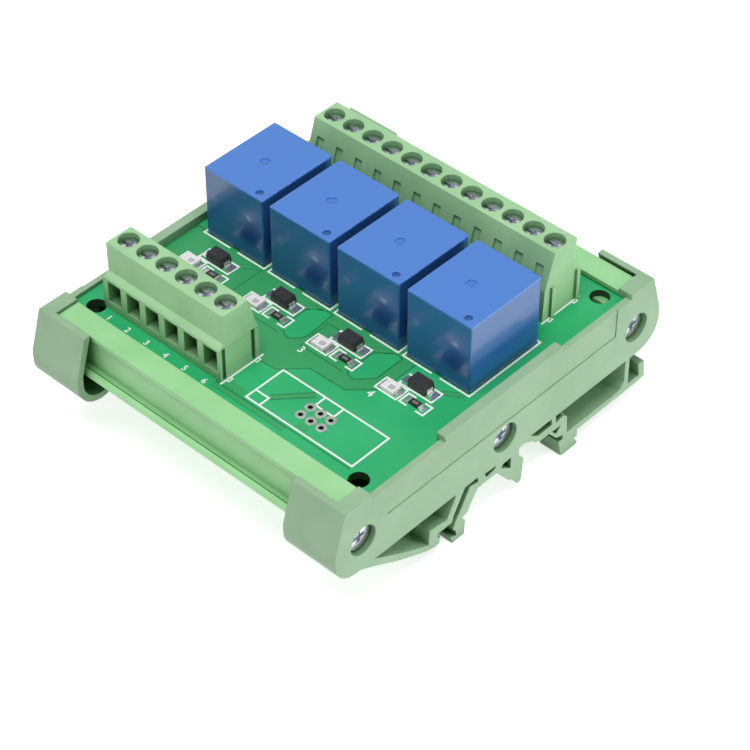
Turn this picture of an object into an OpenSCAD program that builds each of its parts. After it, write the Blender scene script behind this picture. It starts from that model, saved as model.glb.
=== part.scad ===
// Four-channel relay module board in a rail-mount carrier.
// X runs along the row of relays, Y from the six-way terminal block to the twelve-way one, Z up.
// The rail feet stand on z = 0 and the origin is under the middle of the board.

/* [Circuit board] */
// Length of the board along X
board_len = 75.6; // [74:0.2:82]
// Width of the board along Y
board_w = 73; // [72.6:0.2:76]
// Thickness of the board
board_t = 1.6; // [1:0.1:2]
// Diameter of the four corner holes
corner_hole_d = 4; // [3:0.1:4.2]

/* [Relays] */
// Spacing of the four relays
relay_pitch = 17.37; // [16:0.01:17.6]
// Width of a relay case along X
relay_w = 15.4; // [14.8:0.1:15.8]
// Length of a relay case along Y
relay_len = 19.1; // [18.8:0.1:20]
// Height of a relay case above its stand-off pads
relay_h = 15.7; // [12:0.1:20]

/* [Terminal blocks] */
// Spacing of the wire ways
way_pitch = 5.08; // [5:0.01:5.12]
// Height of the terminal blocks above the board
block_h = 15.1; // [14.6:0.1:18]
// Height of the wire windows
window_h = 5; // [4:0.1:5.2]

/* [Carrier profile] */
// Height of the lips above the board
lip_h = 1.3; // [1:0.1:2.2]
// How far each lip covers the board edge
lip_cover = 0.8; // [0.5:0.1:1.2]
// Wall thickness of the profile
wall_t = 1.4; // [1.2:0.1:1.6]
// Depth of the profile floor below the top of the board
floor_drop = 12.9; // [12.6:0.1:13]

/* [Side elements] */
// Thickness of the side plates
plate_t = 3.2; // [3:0.1:4]
// How far the end caps reach over the profile
cap_reach = 9.4; // [6:0.2:14]
// Wall thickness of the end caps
cap_t = 1.4; // [1.2:0.1:1.4]
// Diameter of the screw pockets
pocket_d = 6.4; // [6.2:0.1:7]

/* [Rail foot] */
// Height of the lower bar above the bottom of the hooks
foot_h = 12.2; // [11.8:0.1:14]
// Depth of the foot's arms along X
arm_depth = 6; // [5:0.1:8]
// Depth of the foot's hooks along X
hook_depth = 5; // [4:0.1:5]
// Width of the mounting rail
rail_w = 35; // [34.8:0.1:35.2]
// Thickness of the mounting rail's edge
rail_t = 1; // [0.8:0.1:1.2]

/* [Hidden] */
$fn = 48;

// Overlap that lets a cut run clear of a face
e = 0.1;
// Clearance round the board in its slots
board_gap = 0.1;

// Heights from the bottom of the hooks
bar_drop = 14.6;
board_top = foot_h + bar_drop;
board_under = board_top - board_t;

// Places along X
board_end = board_len / 2;
plate_in = board_end - 1.7;
plate_out = plate_in + plate_t;
// Hairline gap between the profile and the left side element
seat_gap = 0.15;
profile_x = [seat_gap - plate_in, plate_in];
cap_in = plate_in - cap_reach;
upper_wall_t = plate_out - board_end - board_gap;

// Places along Y
board_edge = board_w / 2;
lip_in = board_edge - lip_cover;
lip_out = board_edge + 4.2;
wall_out = board_edge + 3.7;
nose_out = board_edge + 8.6;
cap_top_out = board_edge + 5.95;
cap_h = lip_h + 0.65;
lip_t = 1;
lip_gap = 0.3;

// Rounded lower nose of the side elements
nose_r = 5.5;
nose_y = nose_out - nose_r;
nose_z = nose_r - bar_drop;

// Lower part of the profile, inside the noses
profile_floor_t = 1.3;
floor_half = board_edge + 0.9;
bead_z = -6.6;
bead_reach = 2.25;
bead_groove = 0.3;
// Turn of the lower wall towards the floor, and its heel outside and inside
knee_z = -10.2;
heel = [1.3, -11.6];
inner_heel = [2.3, -11];

// Side plate edges above the top of the board
plate_rise = 0.8;
slope_end = -6.9;

// Clamping tab over the end of the board
tab_y = [-16.5, 15.9];
tab_reach = 0.8;

// Shallow panel moulded into the outer face of a side element
panel_half = board_edge - 4.8;
panel_z = -5.9;
panel_depth = 0.2;

// Screws that hold the side elements
screw_d = 2.9;
screw_len = 10;
screw_hole_d = 3.4;
channel_d = 3;
boss_r = 2.2;
head_d = 5.6;
head_h = 1.2;
pocket_depth = 2.4;
recess_w = 0.9;
recess_len = 3;
recess_depth = 0.8;
side_screw = [board_edge + 1.5, -7.6];
centre_screw = [0, -9.7];
screw_places = [[-side_screw[0], side_screw[1]], centre_screw, side_screw];

// Mounting rail held by the feet
rail_y = -0.4;
rail_top = 5.6;
rail_gap = 0.2;

// Corner holes of the board
corner_hole_x = board_end - 4.05;
corner_hole_y = board_edge - 3.35;

// Bare header footprint
header_pitch = 2.54;
header_inset = [22.97, 8.25];
header_at = [board_end - header_inset[0], header_inset[1] - board_edge];
header_hole_d = 1;

// Relays
relay_count = 4;
relay_row = [-0.19, 5.74];
relay_pad_h = 0.3;
relay_pad = 1.6;
relay_corner_r = 0.3;
dimple_at = [-0.4, -0.4];
dimple_d = 2.1;
dimple_depth = 0.25;
pip_d = 0.9;
pip_h = 0.15;
dot_inset = [2.27, 1.77];
dot_d = 1.6;
dot_depth = 0.5;
pin_d = 1;
pin_hole_gap = 0.3;
pin_below = 1.4;
relay_pin_span = 14.2;
relay_pin_half = 6;
coil_pin_step = 2;

// Diode, indicator and resistor in front of each relay
diode_at = [0.05, -8.4];
diode_size = [4.1, 2.8, 2.1];
diode_lead_reach = 0.6;
lead_t = 0.2;
diode_lead_w = 1.5;
indicator_at = [-3.68, -12.3];
indicator_size = [3.1, 2.7, 0.9];
lens_d = 2.2;
lens_depth = 0.6;
lens_recess = 0.1;
indicator_lead_w = 1.8;
resistor_at = [2.23, -12.3];
resistor_size = [3.1, 1.35, 0.5];
end_cap_len = 0.4;

// Terminal blocks: section from the wire face at -Y to the sloped back, from the screw axis
front_ways = 6;
rear_ways = 12;
front_block_inset = [20.98, 8.95];
front_block_at = [front_block_inset[0] - board_end, front_block_inset[1] - board_edge];
rear_block_inset = 10.7;
rear_block_at = [0, board_edge - rear_block_inset];
block_foot = -4.5;
block_face = -3.35;
ledge_z = [7.9, 8.5];
ledge_bevel = [0.35, 0.5];
block_top_back = 2.95;
slope_foot = [5.35, 7.2];
block_back = 5.7;
clamp_hole_d = 4.2;
clamp_head_d = 3.9;
clamp_head_h = 2;
clamp_head_sink = 1.3;
clamp_screw_d = 2.9;
clamp_slot_w = 0.7;
clamp_slot_depth = 0.8;
clamp_neck_d = 3.2;
cavity_w = 3.8;
cavity_y = [-2.4, 3.1];
cavity_z = [1.7, 10.2];
window_w = 3.5;
window_z = 1.85;
cage_w = 3.4;
cage_len = 3.6;
cage_wall = 0.5;
cage_z = [2, 9.4];
cage_floor_t = 0.6;
cage_roof_t = 1.2;
cage_hole_d = 3;
tongue_w = 2;
tongue_z = [6, 7];
blade_w = 1;
blade_y = [2.2, 3];
blade_gap = 0.1;
notch_w = 1.8;
notch_z = [8, 11.7];
notch_depth = 0.4;
groove_w = 0.85;
groove_root_w = 1.1;
groove_depth = [0.6, 0.9];
groove_h = 7.6;
groove_y = [-3.6, 3.93];
seam_w = 0.2;
seam_reach = 0.12;
rib_w = 0.95;
rib_reach = 0.5;
rib_root_w = 0.6;
rib_h = 7.3;
rib_y = [-4, 3.2];

// Solder fillets under the board
fillet_d = 2.4;
fillet_h = 0.9;

// Helpers

// Extrudes a (y, z) outline along X between two places
module along_x(from, to) {
    translate([from, 0, 0])
        rotate([90, 0, 90])
            linear_extrude(to - from) children();
}

// Extrudes an (x, z) outline along Y, centred on it
module along_y(length) {
    translate([0, length / 2, 0])
        rotate([90, 0, 0])
            linear_extrude(length) children();
}

// Rectangle in a (y, z) outline between two corners
module span(a, b) {
    translate(a) square(b - a);
}

// The same outline on both sides of y = 0
module both_sides() {
    children();
    mirror([1, 0]) children();
}

// Box with round vertical edges, centred on X and Y
module round_box(size, r) {
    linear_extrude(size[2]) {
        square([size[0] - 2 * r, size[1]], center = true);
        square([size[0], size[1] - 2 * r], center = true);
        for (sx = [-1, 1], sy = [-1, 1])
            translate([sx * (size[0] / 2 - r), sy * (size[1] / 2 - r)]) circle(r);
    }
}

function relay_x(k) = relay_row[0] + (k - (relay_count + 1) / 2) * relay_pitch;
function way_x(k, ways) = (k - (ways + 1) / 2) * way_pitch;
function slope_y(z) = slope_foot[0]
    + (block_top_back - slope_foot[0]) * (z - slope_foot[1]) / (block_h - slope_foot[1]);

// Carrier profile, heights from the top of the board

module lip_and_wall_outline() {
    polygon([
        [lip_in, lip_h],
        [lip_out, lip_h],
        [lip_out, lip_h - lip_t],
        [wall_out, lip_h - lip_t],
        [wall_out, bead_z],
        [wall_out - wall_t, bead_z],
        [wall_out - wall_t, -board_t - profile_floor_t],
        [board_edge - 2.9, -board_t - profile_floor_t],
        [board_edge - 2.9, -board_t],
        [board_edge + board_gap, -board_t],
        [board_edge + board_gap, board_gap],
        [lip_in, lip_h - lip_t]
    ]);
}

// Rolled bead along the outside, with a fine groove behind it
module bead_outline() {
    polygon([
        [wall_out - wall_t, bead_z],
        [wall_out + 0.95, bead_z],
        [wall_out + 0.95, bead_z - bead_groove],
        [wall_out + 1.15, bead_z - bead_groove],
        [wall_out + 1.15, bead_z],
        [wall_out + bead_reach - 0.45, bead_z - 0.2],
        [wall_out + bead_reach, bead_z - 0.9],
        [wall_out + bead_reach - 0.35, bead_z - 1.4],
        [wall_out + bead_reach - 1.15, bead_z - 2.1],
        [wall_out, bead_z - 2.3],
        [wall_out - wall_t, bead_z - 2.3]
    ]);
}

module lower_wall_outline() {
    polygon([
        [wall_out - wall_t, bead_z],
        [wall_out, bead_z],
        [wall_out, bead_z - 2.3],
        [wall_out - 0.1, knee_z],
        [wall_out - heel[0], heel[1]],
        [floor_half, -floor_drop],
        [floor_half - 2, -floor_drop],
        [floor_half - 2, profile_floor_t - floor_drop],
        [floor_half - 0.3, profile_floor_t - floor_drop],
        [wall_out - inner_heel[0], inner_heel[1]],
        [wall_out - wall_t - 0.1, knee_z + 0.3]
    ]);
}

module channel_boss(at) {
    translate([profile_x[0], at[0], at[1]])
        rotate([0, 90, 0]) cylinder(r = boss_r, h = profile_x[1] - profile_x[0]);
}

module channel_bore(at) {
    translate([-plate_in - e, at[0], at[1]])
        rotate([0, 90, 0]) cylinder(d = channel_d, h = 2 * plate_in + 2 * e);
}

module carrier_profile() {
    color([0.55, 0.78, 0.58])
        translate([0, 0, board_top])
            difference() {
                union() {
                    for (side = [0, 1])
                        mirror([0, side, 0]) {
                            along_x(profile_x[0], profile_x[1]) lip_and_wall_outline();
                            along_x(profile_x[0], profile_x[1]) bead_outline();
                            along_x(profile_x[0], profile_x[1]) lower_wall_outline();
                            channel_boss(side_screw);
                        }
                    along_x(profile_x[0], profile_x[1])
                        span([-floor_half, -floor_drop], [floor_half, profile_floor_t - floor_drop]);
                    channel_boss(centre_screw);
                    // Neck between the middle channel and the floor
                    along_x(profile_x[0], profile_x[1])
                        span([-boss_r, -floor_drop + e], [boss_r, centre_screw[1]]);
                }
                for (at = screw_places) channel_bore(at);
            }
}

// Side elements, heights from the top of the board unless said otherwise

module plate_half_outline() {
    translate([nose_y, nose_z]) circle(nose_r);
    polygon([
        [0, -bar_drop],
        [nose_y, -bar_drop],
        [nose_y, nose_z],
        [nose_out, nose_z],
        [nose_out, slope_end],
        [cap_top_out, cap_h],
        [0, cap_h]
    ]);
}

module cap_half_outline(inset, top_y) {
    translate([nose_y, nose_z]) circle(nose_r - inset);
    polygon([
        [0, nose_z],
        [nose_out - inset, nose_z],
        [nose_out - inset, slope_end],
        [top_y, cap_h],
        [0, cap_h]
    ]);
}

// Wall of a cap, open at the top and curling in under the profile
module cap_shell_outline() {
    intersection() {
        difference() {
            cap_half_outline(0, cap_top_out);
            cap_half_outline(cap_t, lip_out + lip_gap);
            translate([0, e]) cap_half_outline(cap_t, lip_out + lip_gap);
        }
        span([board_edge + 1.5, -bar_drop], [nose_out, cap_h]);
    }
}

module side_plate_outline() {
    difference() {
        both_sides() plate_half_outline();
        span([-lip_in, plate_rise], [lip_in, cap_h + e]);
    }
}

// Rail foot outlines: near rail edge n, far rail edge f, lower bar at b, rail top at r, height from the hooks

module near_arm_outline(n, b, r) {
    h = -board_edge;
    polygon([
        [h - 4.9, b + 0.8],
        [h - 2.4, b + 0.1],
        [h + 1.5, b - 1.9],
        [n - 10.5, r + 1],
        [n - 3.7, r - 2.1],
        [n - 1, r - 2.9],
        [n + 0.1, r - 2.7],
        [n + 0.5, r - rail_t - rail_gap],
        [n - rail_gap, r - rail_t - rail_gap],
        [n - rail_gap, r],
        [n + 3.6, r],
        [n + 4.1, r + 1.6],
        [n + 5.7, b - 2.2],
        [n + 7, b],
        [n + 7, b + e],
        [n + 4.5, b + e],
        [n + 4.2, b - 1.2],
        [n + 2.2, r + 1.8],
        [n - 2.5, r + 2.4],
        [n - 2.7, r - 1.1],
        [n - 3.8, r - 0.7],
        [n - 10.5, r + 2.7],
        [h + 1.5, b],
        [h + 1.5, b + e]
    ]);
}

module hook_leg_outline(n, b) {
    polygon([
        [n + 10.6, b + e],
        [n + 10.6, b - 1.2],
        [n + 8.4, b - 0.8],
        [n + 6.3, b - 4.5],
        [n + 5, b - 6.4],
        [n + 3.9, 3.6],
        [n + 4.8, 2.4],
        [n + 4.9, 1.2],
        [n + 3.3, 1.9],
        [n + 3.8, 0],
        [n + 7.1, 0],
        [n + 7.3, 3.5],
        [n + 6.4, 4.7],
        [n + 8, 5.3],
        [n + 8.8, b - 5.4],
        [n + 10.6, b - 2.8],
        [rail_y, b - 2.8],
        [rail_y, b + e]
    ]);
}

module centre_post_outline(b) {
    c = rail_y;
    polygon([
        [c - 1.6, b + e],
        [c - 1.6, b - 2.8],
        [c + 2.1, 4.8],
        [c + 2.7, 4.7],
        [c + 4.6, 2.2],
        [c + 5.6, 2.3],
        [c + 6.1, 7.7],
        [c + 4.7, b - 3],
        [c + 4.6, b + e]
    ]);
}

module latch_arm_outline(f, b, r) {
    h = board_edge;
    catch_z = r - rail_t - rail_gap;
    polygon([
        [rail_y + 4.6, b + e],
        [rail_y + 4.6, b - 0.8],
        [rail_y + 6.3, b - 0.8],
        [f - 9.4, b - 1.5],
        [f - 7.9, b - 2.8],
        [f - 6.6, b - 3.4],
        [f - 4.1, b - 3.4],
        [f - 1.8, r + 0.5],
        [f - 0.4, r],
        [f + rail_gap, r],
        [f + rail_gap, catch_z],
        [f - 0.9, catch_z],
        [f - 0.2, 0.4],
        [f + 0.4, 0],
        [f + 4.3, 0],
        [f + 4.8, 0.5],
        [f + 3.6, 2.3],
        [f + 4.7, 2],
        [f + 4.6, 3.9],
        [h + 4.4, 3.9],
        [h + 5.6, 4.2],
        [h + 5.1, 8.4],
        [h + 3.4, 8.4],
        [h + 3.8, 5.3],
        [h + 0.4, 5.3],
        [h + 0.3, b + e],
        [h - 0.9, b + e],
        [h - 0.9, 6.7],
        [h - 2, 5.5],
        [h - 4.4, 5.2],
        [f + 1.4, 5.3],
        [f + 1.1, b - 2.4],
        [f - 0.1, b - 1.5],
        [f - 2.2, b - 1.9],
        [f - 2.3, b + e],
        [f - 3.5, b + e],
        [f - 3.4, b - 1.6],
        [f - 7.4, b - 1.6],
        [f - 9.8, b + e]
    ]);
}

module foot_outline() {
    near_edge = rail_y - rail_w / 2;
    far_edge = rail_y + rail_w / 2;
    difference() {
        union() {
            near_arm_outline(near_edge, foot_h, rail_top);
            hook_leg_outline(near_edge, foot_h);
            centre_post_outline(foot_h);
            latch_arm_outline(far_edge, foot_h, rail_top);
        }
        // Slots and pockets that lighten the foot
        polygon([
            [rail_y - 1.8, foot_h - 0.7],
            [rail_y - 2.2, foot_h - 1.3],
            [rail_y - 4.4, foot_h - 1.8],
            [rail_y - 5.1, foot_h - 0.5]
        ]);
        polygon([
            [rail_y + 2.4, foot_h - 1.6],
            [rail_y + 0.1, foot_h - 1.7],
            [rail_y - 0.3, foot_h - 2.5],
            [rail_y + 2.4, foot_h - 4.4]
        ]);
        polygon([
            [far_edge - 0.6, foot_h - 3.6],
            [far_edge - 3.2, foot_h - 3.5],
            [far_edge - 1.9, foot_h - 5]
        ]);
    }
}

module screw_pocket(at) {
    translate([plate_in - e, at[0], at[1]])
        rotate([0, 90, 0]) cylinder(d = screw_hole_d, h = plate_t + 2 * e);
    translate([plate_out - pocket_depth, at[0], at[1]])
        rotate([0, 90, 0]) cylinder(d = pocket_d, h = pocket_depth + e);
}

module side_element() {
    color([0.62, 0.76, 0.6])
        difference() {
            union() {
                translate([0, 0, board_top]) {
                    along_x(plate_in, plate_out) side_plate_outline();
                    along_x(cap_in, plate_in + e) both_sides() cap_shell_outline();
                }
                // Hooks reach less deep than the arms
                along_x(plate_out - hook_depth, plate_out) foot_outline();
                along_x(plate_out - arm_depth, plate_out)
                    intersection() {
                        foot_outline();
                        span([-nose_out, 2.6], [nose_out, foot_h + 1]);
                    }
            }
            translate([0, 0, board_top]) {
                // Slot for the end of the board, open above it
                slot = [board_edge + board_gap, board_gap];
                along_x(plate_in - e, board_end + board_gap)
                    span([-slot[0], -board_t - board_gap], slot);
                along_x(plate_in - e, plate_out - upper_wall_t)
                    span([-lip_in, 0], [lip_in, cap_h + 2 * e]);
                for (at = screw_places) screw_pocket(at);
                // Shallow panel
                along_x(plate_out - panel_depth, plate_out + e)
                    span([-panel_half, panel_z], [panel_half, cap_h + e]);
            }
        }
    // Tab that clamps the end of the board
    color([0.62, 0.76, 0.6])
        translate([0, 0, board_top])
            along_x(board_end - tab_reach, plate_out - panel_depth)
                span([tab_y[0], board_gap], [tab_y[1], cap_h]);
}

module cross_screw(at) {
    translate([plate_out - pocket_depth, at[0], at[1]])
        rotate([0, 90, 0])
            difference() {
                union() {
                    cylinder(d = head_d, h = head_h);
                    translate([0, 0, head_h - screw_len]) cylinder(d = screw_d, h = screw_len - e);
                }
                translate([0, 0, head_h - recess_depth / 2 + e]) {
                    cube([recess_w, recess_len, recess_depth + 2 * e], center = true);
                    cube([recess_len, recess_w, recess_depth + 2 * e], center = true);
                }
            }
}

module carrier_screws() {
    color("silver")
        translate([0, 0, board_top])
            for (at = screw_places) cross_screw(at);
}

// Circuit board

function relay_pin_places() = [
    for (k = [1:relay_count])
        for (at = [
            [0, -relay_pin_span / 2],
            [-relay_pin_half, coil_pin_step - relay_pin_span / 2],
            [relay_pin_half, coil_pin_step - relay_pin_span / 2],
            [-relay_pin_half, relay_pin_span / 2],
            [relay_pin_half, relay_pin_span / 2]
        ]) [relay_x(k) + at[0], relay_row[1] + at[1]]
];

function blade_mid() = (blade_y[0] + blade_y[1]) / 2;

function block_pin_places() = concat(
    [for (k = [1:front_ways]) front_block_at + [way_x(k, front_ways), blade_mid()]],
    [for (k = [1:rear_ways]) rear_block_at - [way_x(k, rear_ways), blade_mid()]]
);

module circuit_board() {
    color([0.15, 0.6, 0.4])
        translate([0, 0, board_under])
            difference() {
                linear_extrude(board_t) square([board_len, board_w], center = true);
                for (sx = [-1, 1], sy = [-1, 1])
                    translate([sx * corner_hole_x, sy * corner_hole_y, -e])
                        cylinder(d = corner_hole_d, h = board_t + 2 * e);
                for (i = [0:2], j = [0:1])
                    translate([header_at[0] + i * header_pitch, header_at[1] + j * header_pitch, -e])
                        cylinder(d = header_hole_d, h = board_t + 2 * e);
                for (at = concat(relay_pin_places(), block_pin_places()))
                    translate([at[0], at[1], -e])
                        cylinder(d = pin_d + pin_hole_gap, h = board_t + 2 * e);
            }
}

module solder_joints() {
    color("silver")
        for (at = relay_pin_places())
            translate([at[0], at[1], board_under - fillet_h])
                difference() {
                    cylinder(d1 = pin_d + 0.3, d2 = fillet_d, h = fillet_h);
                    translate([0, 0, -e]) cylinder(d = pin_d, h = fillet_h + 2 * e);
                }
    color("silver")
        for (at = block_pin_places())
            translate([at[0], at[1], board_under - fillet_h])
                difference() {
                    cylinder(d1 = pin_d + 0.5, d2 = fillet_d, h = fillet_h);
                    translate([-blade_w / 2, blade_y[0] - blade_mid(), -e])
                        cube([blade_w, blade_y[1] - blade_y[0], fillet_h + 2 * e]);
                }
}

// Relays

module relay(k) {
    case_top = relay_pad_h + relay_h;
    color([0.15, 0.35, 0.75])
        translate([relay_x(k), relay_row[1], board_top])
            difference() {
                union() {
                    translate([0, 0, relay_pad_h])
                        round_box([relay_w, relay_len, relay_h], relay_corner_r);
                    // Stand-off pads
                    for (sx = [-1, 1], sy = [-1, 1])
                        translate([sx * (relay_w / 2 - relay_pad), sy * (relay_len / 2 - relay_pad), 0])
                            translate([-relay_pad / 2, -relay_pad / 2, 0])
                                cube([relay_pad, relay_pad, relay_pad_h + e]);
                }
                // Gate mark with a pip in its middle
                translate([dimple_at[0], dimple_at[1], case_top - dimple_depth])
                    difference() {
                        cylinder(d = dimple_d, h = dimple_depth + e);
                        translate([0, 0, -e]) cylinder(d = pip_d, h = pip_h + e);
                    }
                // Vent
                translate([relay_w / 2 - dot_inset[0], dot_inset[1] - relay_len / 2, case_top - dot_depth])
                    cylinder(d = dot_d, h = dot_depth + e);
            }
}

module relay_pins() {
    color("silver")
        for (at = relay_pin_places())
            translate([at[0], at[1], board_under - pin_below])
                cylinder(d = pin_d, h = pin_below + board_t + relay_pad_h);
}

// Small parts in front of the relays

module small_part_place(k, at) {
    translate([relay_x(k) + at[0], at[1], board_top]) children();
}

module diode(k) {
    half = [diode_size[0] / 2, diode_size[1] / 2];
    belt = diode_size[2] / 2;
    taper = 0.2;
    top = diode_size[2] + e;
    color([0.1, 0.1, 0.1])
        small_part_place(k, diode_at)
            intersection() {
                along_y(diode_size[1]) polygon([
                    [-half[0], lead_t], [half[0], lead_t], [half[0], belt],
                    [half[0] - taper, diode_size[2]], [taper - half[0], diode_size[2]], [-half[0], belt]
                ]);
                along_x(-diode_size[0], diode_size[0]) polygon([
                    [-half[1], 0], [half[1], 0], [half[1], belt],
                    [half[1] - taper, top], [taper - half[1], top], [-half[1], belt]
                ]);
            }
}

module diode_leads(k) {
    half = diode_size[0] / 2;
    color("silver")
        small_part_place(k, diode_at)
            for (side = [0, 1])
                mirror([side, 0, 0])
                    along_y(diode_lead_w) polygon([
                        [half - 1, 0], [half + diode_lead_reach, 0], [half + diode_lead_reach, lead_t],
                        [half + lead_t, lead_t + 0.1], [half + lead_t, diode_size[2] / 2],
                        [half, diode_size[2] / 2], [half, lead_t], [half - 1, lead_t]
                    ]);
}

module indicator(k) {
    color([0.9, 0.88, 0.85])
        small_part_place(k, indicator_at)
            difference() {
                translate([0, 0, lead_t / 2 + indicator_size[2] / 2])
                    cube([indicator_size[0], indicator_size[1], indicator_size[2] - lead_t], center = true);
                translate([0, 0, indicator_size[2] - lens_depth]) cylinder(d = lens_d, h = lens_depth + e);
            }
}

module indicator_lens(k) {
    color([0.95, 0.9, 0.7])
        small_part_place(k, indicator_at)
            translate([0, 0, indicator_size[2] - lens_depth])
                cylinder(d = lens_d, h = lens_depth - lens_recess);
}

module indicator_leads(k) {
    half = indicator_size[0] / 2;
    color("silver")
        small_part_place(k, indicator_at)
            for (side = [0, 1])
                mirror([side, 0, 0])
                    along_y(indicator_lead_w) polygon([
                        [half - 0.8, 0], [half + lead_t, 0], [half + lead_t, 0.6],
                        [half, 0.6], [half, lead_t], [half - 0.8, lead_t]
                    ]);
}

module resistor(k) {
    color([0.12, 0.12, 0.12])
        small_part_place(k, resistor_at)
            translate([0, 0, resistor_size[2] / 2])
                cube([resistor_size[0] - 2 * end_cap_len, resistor_size[1], resistor_size[2]], center = true);
}

module resistor_end_caps(k) {
    color("silver")
        small_part_place(k, resistor_at)
            for (side = [-1, 1])
                translate([side * (resistor_size[0] - end_cap_len) / 2, 0, resistor_size[2] / 2])
                    cube([end_cap_len, resistor_size[1], resistor_size[2]], center = true);
}

// Terminal blocks, from the screw axis, wire face at -Y

module each_way(ways) {
    for (k = [1:ways]) translate([way_x(k, ways), 0, 0]) children();
}

module place_front() {
    translate([front_block_at[0], front_block_at[1], board_top]) children();
}

module place_rear() {
    translate([rear_block_at[0], rear_block_at[1], board_top]) rotate([0, 0, 180]) children();
}

module way_cuts() {
    shoulder = block_h - clamp_head_sink - clamp_head_h;
    // Screw hole, wide above its shoulder and narrow below
    translate([0, 0, shoulder]) cylinder(d = clamp_hole_d, h = block_h - shoulder + e);
    translate([0, 0, cavity_z[1] - e]) cylinder(d = clamp_neck_d, h = shoulder - cavity_z[1] + 2 * e);
    // Cavity for the cage
    translate([-cavity_w / 2, cavity_y[0], cavity_z[0]])
        cube([cavity_w, cavity_y[1] - cavity_y[0], cavity_z[1] - cavity_z[0]]);
    // Wire window
    along_x(-window_w / 2, window_w / 2)
        span([block_foot - e, window_z], [cavity_y[0] + e, window_z + window_h]);
    // Hole for the blade's pin
    translate([-blade_w / 2 - blade_gap, blade_y[0] - blade_gap, -e])
        cube([blade_w + 2 * blade_gap, blade_y[1] - blade_y[0] + 2 * blade_gap, cavity_z[0] + 2 * e]);
    // Notch in the sloped back
    along_x(-notch_w / 2, notch_w / 2) polygon([
        [slope_y(notch_z[0]) - notch_depth, notch_z[0]],
        [slope_y(notch_z[1]) - notch_depth, notch_z[1]],
        [slope_y(notch_z[1]) + 1, notch_z[1]],
        [slope_y(notch_z[0]) + 1, notch_z[0]]
    ]);
}

// Dovetail rib that a neighbour's groove would take
module end_rib() {
    root = rib_root_w / 2;
    head = rib_w / 2;
    linear_extrude(rib_h)
        polygon([[e, -root], [-rib_reach, -head], [-rib_reach, head], [e, root]]);
}

module end_groove(depth) {
    mouth = groove_w / 2;
    root = groove_root_w / 2;
    translate([0, 0, -e])
        linear_extrude(groove_h + e)
            polygon([[e, -mouth], [-depth, -root], [-depth, root], [e, mouth]]);
}

module terminal_housing(ways) {
    half = ways * way_pitch / 2;
    color([0.55, 0.72, 0.52])
        difference() {
            union() {
                along_x(-half, half) polygon([
                    [block_foot, 0],
                    [block_foot, ledge_z[0] - ledge_bevel[1]],
                    [block_foot + ledge_bevel[0], ledge_z[0]],
                    [block_face, ledge_z[1]],
                    [block_face, block_h],
                    [block_top_back, block_h],
                    slope_foot,
                    [block_back, 0]
                ]);
                for (y = rib_y) translate([-half, y, 0]) end_rib();
                // Parting line over the grooves of the other end
                along_x(half - seam_reach, half + seam_reach)
                    span([block_foot + ledge_bevel[0] + seam_w, groove_h],
                         [slope_foot[0] - seam_w, groove_h + seam_w]);
            }
            each_way(ways) way_cuts();
            for (k = [0, 1]) translate([half, groove_y[k], 0]) end_groove(groove_depth[k]);
        }
}

module terminal_screws(ways) {
    head_z = block_h - clamp_head_sink;
    color("silver")
        each_way(ways)
            difference() {
                union() {
                    translate([0, 0, head_z - clamp_head_h]) cylinder(d = clamp_head_d, h = clamp_head_h);
                    translate([0, 0, tongue_z[1]])
                        cylinder(d = clamp_screw_d, h = head_z - clamp_head_h - tongue_z[1] + e);
                }
                translate([0, 0, head_z - clamp_slot_depth / 2 + e])
                    cube([clamp_head_d + 1, clamp_slot_w, clamp_slot_depth + 2 * e], center = true);
                translate([0, 0, head_z - clamp_slot_depth / 2 + e])
                    cube([clamp_slot_w, clamp_head_d * 0.55, clamp_slot_depth + 2 * e], center = true);
            }
}

module terminal_cages(ways) {
    inner_w = cage_w - 2 * cage_wall;
    color([0.8, 0.78, 0.7])
        each_way(ways)
            difference() {
                translate([-cage_w / 2, -cage_len / 2, cage_z[0]])
                    cube([cage_w, cage_len, cage_z[1] - cage_z[0]]);
                translate([-inner_w / 2, -cage_len / 2 - e, cage_z[0] + cage_floor_t])
                    cube([inner_w, cage_len + 2 * e, cage_z[1] - cage_z[0] - cage_floor_t - cage_roof_t]);
                translate([0, 0, cage_z[1] - cage_roof_t - e])
                    cylinder(d = cage_hole_d, h = cage_roof_t + 2 * e);
            }
}

module terminal_blades(ways) {
    color([0.85, 0.83, 0.78])
        each_way(ways) {
            translate([-tongue_w / 2, -cage_len / 2, tongue_z[0]])
                cube([tongue_w, blade_y[1] + cage_len / 2, tongue_z[1] - tongue_z[0]]);
            translate([-blade_w / 2, blade_y[0], -board_t - pin_below])
                cube([blade_w, blade_y[1] - blade_y[0], tongue_z[1] + board_t + pin_below]);
        }
}

carrier_profile();
side_element();  // side_element_right
mirror([1, 0, 0]) side_element();  // side_element_left
carrier_screws();  // carrier_screws_right
mirror([1, 0, 0]) carrier_screws();  // carrier_screws_left
circuit_board();
relay_pins();
solder_joints();
for (k = [1:relay_count]) {
    relay(k);
    diode(k);
    diode_leads(k);
    indicator(k);
    indicator_lens(k);  // indicator_lenses
    indicator_leads(k);
    resistor(k);
    resistor_end_caps(k);
}
place_front() terminal_housing(front_ways);  // front_terminal_housing
place_front() terminal_screws(front_ways);  // front_terminal_screws
place_front() terminal_cages(front_ways);  // front_terminal_cages
place_front() terminal_blades(front_ways);  // front_terminal_blades
place_rear() terminal_housing(rear_ways);  // rear_terminal_housing
place_rear() terminal_screws(rear_ways);  // rear_terminal_screws
place_rear() terminal_cages(rear_ways);  // rear_terminal_cages
place_rear() terminal_blades(rear_ways);  // rear_terminal_blades
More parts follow.
